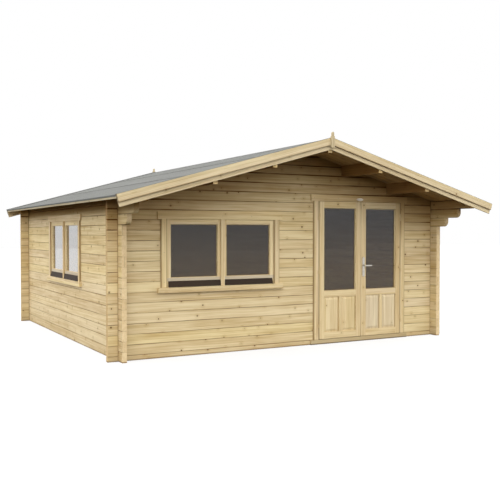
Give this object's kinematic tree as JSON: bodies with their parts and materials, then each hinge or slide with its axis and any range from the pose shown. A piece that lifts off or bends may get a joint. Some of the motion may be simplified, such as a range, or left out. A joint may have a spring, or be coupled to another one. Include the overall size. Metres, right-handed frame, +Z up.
{
  "type": "log cabin",
  "caption": "Garden log cabin with interlocking log corners, felted ridge roof with a deep front overhang, glazed double door and casement windows.",
  "frame": {"origin": "ground level under the middle of the roof plan", "axes": "+Z up; the front with the door faces -Y; +X to the right seen from the front"},
  "size_m": [5.3378, 5.7456, 2.6699],
  "materials": {
    "log_wood": "planed untreated spruce",
    "frame_wood": "planed untreated spruce",
    "joinery_wood": "planed untreated pine",
    "felt": "fine mineral surfaced roofing felt",
    "glass": "clear float glass",
    "weather_bar": "satin dark brown",
    "hardware": "satin"
  },
  "bodies": {
    "cabin": {"floor_bearers": "frame_wood", "floor_boards": "frame_wood", "front_wall_base_log": "log_wood", "front_wall_left_logs": "log_wood", "front_wall_right_logs": "log_wood", "front_lintel_log": "log_wood", "front_gable_logs": "log_wood", "left_wall_logs": "log_wood", "left_wall_corbel_logs": "log_wood", "right_wall_logs": "log_wood", "right_wall_corbel_logs": "log_wood", "rear_wall_logs": "log_wood", "rear_gable_logs": "log_wood", "roof_purlins": "frame_wood", "roof_boards": "frame_wood", "roof_felt": "felt", "ridge_felt_strip": "felt", "front_barge_boards": "joinery_wood", "rear_barge_boards": "joinery_wood", "barge_covers": "joinery_wood", "eave_battens": "joinery_wood", "roof_finials": "joinery_wood", "door_frame": "joinery_wood", "door_surround": "joinery_wood", "door_frame_hinges": "hardware", "front_window_frame": "joinery_wood", "front_window_sashes": "joinery_wood", "front_window_glass": "glass", "front_weather_bars": "weather_bar", "front_window_surround": "joinery_wood", "left_window_frame": "joinery_wood", "left_window_sashes": "joinery_wood", "left_window_glass": "glass", "left_weather_bars": "weather_bar", "left_window_surround": "joinery_wood"},
    "left_leaf": {"left_door_leaf": "joinery_wood", "left_door_panels": "joinery_wood", "left_door_glass": "glass", "left_leaf_hinges": "hardware"},
    "right_leaf": {"right_door_leaf": "joinery_wood", "right_door_panels": "joinery_wood", "right_door_glass": "glass", "right_leaf_hinges": "hardware", "door_handle_plates": "hardware"},
    "lever": {"door_lever": "hardware"}
  },
  "joints": [
    {"name": "left_door", "type": "hinge", "parent": "cabin", "child": "left_leaf", "pos_m": [0.3645, -2.0555, 0.97], "axis": [0, 0, -1], "range_deg": [0, 110]},
    {"name": "right_door", "type": "hinge", "parent": "cabin", "child": "right_leaf", "pos_m": [1.7355, -2.0555, 0.97], "axis": [0, 0, 1], "range_deg": [0, 110]},
    {"name": "lever_turn", "type": "hinge", "parent": "right_leaf", "child": "lever", "pos_m": [1.0935, -2.0275, 1.025], "axis": [0, 1, 0], "range_deg": [0, 45], "stiffness_Nm_per_rad": 2, "springref_deg": -11.46}
  ]
}
